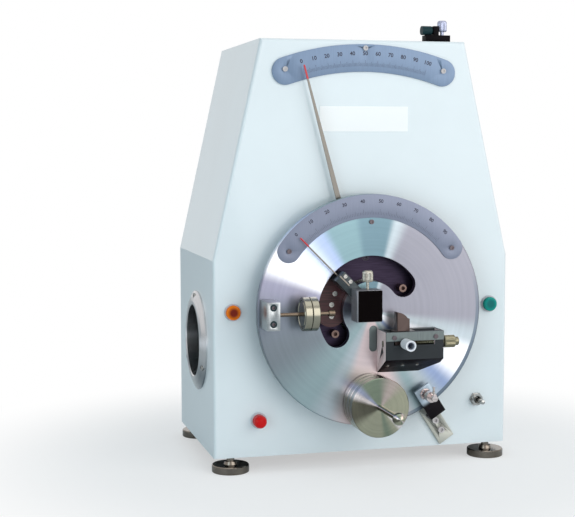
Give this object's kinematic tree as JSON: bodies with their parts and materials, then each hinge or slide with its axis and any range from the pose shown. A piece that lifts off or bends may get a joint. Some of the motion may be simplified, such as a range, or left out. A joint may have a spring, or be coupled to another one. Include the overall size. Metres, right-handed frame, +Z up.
{
  "type": "bending stiffness tester",
  "caption": "Bench instrument for bending stiffness: a weighted pendulum disc with angle scale, a motor-turned vise on its axis and a load scale on a tapered cabinet.",
  "frame": {"origin": "middle of the overall box at the height of the feet's undersides", "axes": "+Z up, +Y from the dial front to the back, +X to the right as seen from the front"},
  "size_m": [0.332, 0.316, 0.4655],
  "materials": {
    "cabinet_paint": "gloss",
    "floor_steel": "satin",
    "foot_nickel": "polished",
    "grip_grey": "satin",
    "screw_steel": "satin",
    "scale_silver": "satin",
    "housing_dark": "satin",
    "running_steel": "satin",
    "arrest_nickel": "satin",
    "switch_chrome": "polished",
    "bezel_black": "satin",
    "button_orange": "gloss",
    "button_green": "gloss",
    "lamp_red": "gloss",
    "roof_black": "satin",
    "vial_green": "gloss",
    "knurled_chrome": "polished",
    "arm_brown": "satin",
    "vise_black": "satin",
    "pointer_steel": "satin",
    "disc_aluminium": "satin",
    "wheel_steel": "satin",
    "slider_brown": "satin",
    "weight_nickel": "polished",
    "motor_black": "satin"
  },
  "bodies": {
    "base": {"casing": "cabinet_paint", "base_plate": "floor_steel", "rear_cover": "cabinet_paint", "case_screws": "screw_steel", "grip_rings": "grip_grey", "load_scale_plate": "scale_silver", "bearing_housing": "housing_dark", "sleeve_bearings": "running_steel", "arm_stop_screws": "screw_steel", "arrest_bracket": "arrest_nickel", "panel_screws": "screw_steel", "panel_bezels": "bezel_black", "red_lamp": "lamp_red", "toggle_switch": "switch_chrome", "motor_bracket": "floor_steel", "gear_motor": "motor_black", "terminal_block": "bezel_black", "power_inlet": "bezel_black", "top_fitting": "roof_black", "level_vial": "vial_green"},
    "pendulum": {"pendulum_disc": "disc_aluminium", "pendulum_shaft": "running_steel", "shaft_nuts": "running_steel", "angle_scale_plate": "scale_silver", "disc_screws": "screw_steel", "load_pointer": "pointer_steel", "pointer_block": "disc_aluminium", "rod_bracket": "disc_aluminium", "balance_rod": "wheel_steel", "plate_bracket": "disc_aluminium", "guide_strip": "disc_aluminium", "weight_stud": "weight_nickel"},
    "vise": {"vise_sleeve": "running_steel", "vise_arm": "arm_brown", "vise_post": "arm_brown", "vise_pointer": "pointer_steel", "drive_gear": "running_steel", "vise_block": "vise_black", "shaft_bearings": "running_steel", "vise_arm_screws": "screw_steel"},
    "vise_jaw": {"vise_jaw": "vise_black"},
    "vise_thumb_screw": {"vise_thumb_screw": "knurled_chrome"},
    "motor_pinion": {"motor_pinion": "running_steel"},
    "balance_wheel_outer": {"balance_wheel_outer": "wheel_steel"},
    "balance_wheel_inner": {"balance_wheel_inner": "wheel_steel"},
    "plate_slider": {"plate_slider": "slider_brown"},
    "feed_screw": {"feed_screw": "knurled_chrome"},
    "clamp_screw": {"clamp_screw": "knurled_chrome"},
    "weight_inner": {"weight_inner": "weight_nickel"},
    "weight_middle": {"weight_middle": "weight_nickel"},
    "weight_outer": {"weight_outer": "weight_nickel"},
    "arrest_screw": {"arrest_screw": "arrest_nickel"},
    "toggle_lever": {"toggle_lever": "switch_chrome"},
    "orange_button": {"orange_button": "button_orange"},
    "green_button": {"green_button": "button_green"},
    "top_thumb_screw": {"top_thumb_screw": "knurled_chrome"},
    "foot_front_left": {"foot_front_left": "foot_nickel"},
    "foot_front_right": {"foot_front_right": "foot_nickel"},
    "foot_rear_left": {"foot_rear_left": "foot_nickel"},
    "foot_rear_right": {"foot_rear_right": "foot_nickel"}
  },
  "joints": [
    {"name": "pendulum_swing", "type": "hinge", "parent": "base", "child": "pendulum", "pos_m": [0, -0.04167, 0.166], "axis": [0, 1, 0], "range_deg": [0, 30]},
    {"name": "vise_turn", "type": "hinge", "parent": "base", "child": "vise", "pos_m": [0, -0.04167, 0.166], "axis": [0, 1, 0], "range_deg": [0, 90]},
    {"name": "motor_turn", "type": "hinge", "parent": "base", "child": "motor_pinion", "pos_m": [0, -0.04167, 0.118], "axis": [0, 1, 0], "range_deg": [-270, 0]},
    {"name": "vise_clamp", "type": "slide", "parent": "vise", "child": "vise_jaw", "axis": [0, 0, 1], "range_m": [-0.0008, 0.0035]},
    {"name": "vise_screw_turn", "type": "hinge", "parent": "vise_jaw", "child": "vise_thumb_screw", "pos_m": [-0.012, -0.09018, 0.166], "axis": [0, 0, 1], "range_deg": [-540, 2250]},
    {"name": "outer_wheel_slide", "type": "slide", "parent": "pendulum", "child": "balance_wheel_outer", "axis": [1, 0, 0], "range_m": [-0.025, 0]},
    {"name": "inner_wheel_slide", "type": "slide", "parent": "pendulum", "child": "balance_wheel_inner", "axis": [1, 0, 0], "range_m": [0, 0.0125]},
    {"name": "span_slide", "type": "slide", "parent": "pendulum", "child": "plate_slider", "axis": [1, 0, 0], "range_m": [-0.008, 0.024]},
    {"name": "feed_turn", "type": "hinge", "parent": "pendulum", "child": "feed_screw", "pos_m": [0, -0.08367, 0.134], "axis": [1, 0, 0], "range_deg": [-1440, 4320]},
    {"name": "clamp_turn", "type": "hinge", "parent": "plate_slider", "child": "clamp_screw", "pos_m": [0.027, -0.09267, 0.135], "axis": [0, 1, 0], "range_deg": [-90, 90]},
    {"name": "inner_weight_slide", "type": "slide", "parent": "pendulum", "child": "weight_inner", "axis": [0, -1, 0], "range_m": [0, 0.0155]},
    {"name": "middle_weight_slide", "type": "slide", "parent": "weight_inner", "child": "weight_middle", "axis": [0, -1, 0], "range_m": [0, 0.0155]},
    {"name": "outer_weight_slide", "type": "slide", "parent": "weight_middle", "child": "weight_outer", "axis": [0, -1, 0], "range_m": [0, 0.0155]},
    {"name": "arrest_turn", "type": "hinge", "parent": "base", "child": "arrest_screw", "pos_m": [0.05618, -0.04167, 0.07848], "axis": [0, 1, 0], "range_deg": [-180, 180]},
    {"name": "toggle_tilt", "type": "hinge", "parent": "base", "child": "toggle_lever", "pos_m": [0.1263, -0.04267, 0.0635], "axis": [1, 0, 0], "range_deg": [-12, 12]},
    {"name": "orange_press", "type": "slide", "parent": "base", "child": "orange_button", "axis": [0, 1, 0], "range_m": [0, 0.003], "stiffness_N_per_m": 300},
    {"name": "green_press", "type": "slide", "parent": "base", "child": "green_button", "axis": [0, 1, 0], "range_m": [0, 0.003], "stiffness_N_per_m": 300},
    {"name": "roof_screw_turn", "type": "hinge", "parent": "base", "child": "top_thumb_screw", "pos_m": [0.092, -0.02167, 0.4425], "axis": [0, 0, 1], "range_deg": [-180, 180]},
    {"name": "foot_front_left_turn", "type": "hinge", "parent": "base", "child": "foot_front_left", "pos_m": [-0.1412, -0.03308, 0], "axis": [0, 0, 1], "range_deg": [-180, 180]},
    {"name": "foot_front_right_turn", "type": "hinge", "parent": "base", "child": "foot_front_right", "pos_m": [0.1412, -0.03308, 0], "axis": [0, 0, 1], "range_deg": [-180, 180]},
    {"name": "foot_rear_left_turn", "type": "hinge", "parent": "base", "child": "foot_rear_left", "pos_m": [-0.1412, 0.13872, 0], "axis": [0, 0, 1], "range_deg": [-180, 180]},
    {"name": "foot_rear_right_turn", "type": "hinge", "parent": "base", "child": "foot_rear_right", "pos_m": [0.1412, 0.13872, 0], "axis": [0, 0, 1], "range_deg": [-180, 180]}
  ],
  "couplings": [
    {"joint": "motor_turn", "follows": "vise_turn", "ratio": -3},
    {"joint": "vise_screw_turn", "follows": "vise_clamp", "rad_per_m": 8976},
    {"joint": "feed_turn", "follows": "span_slide", "rad_per_m": 3141.6}
  ]
}
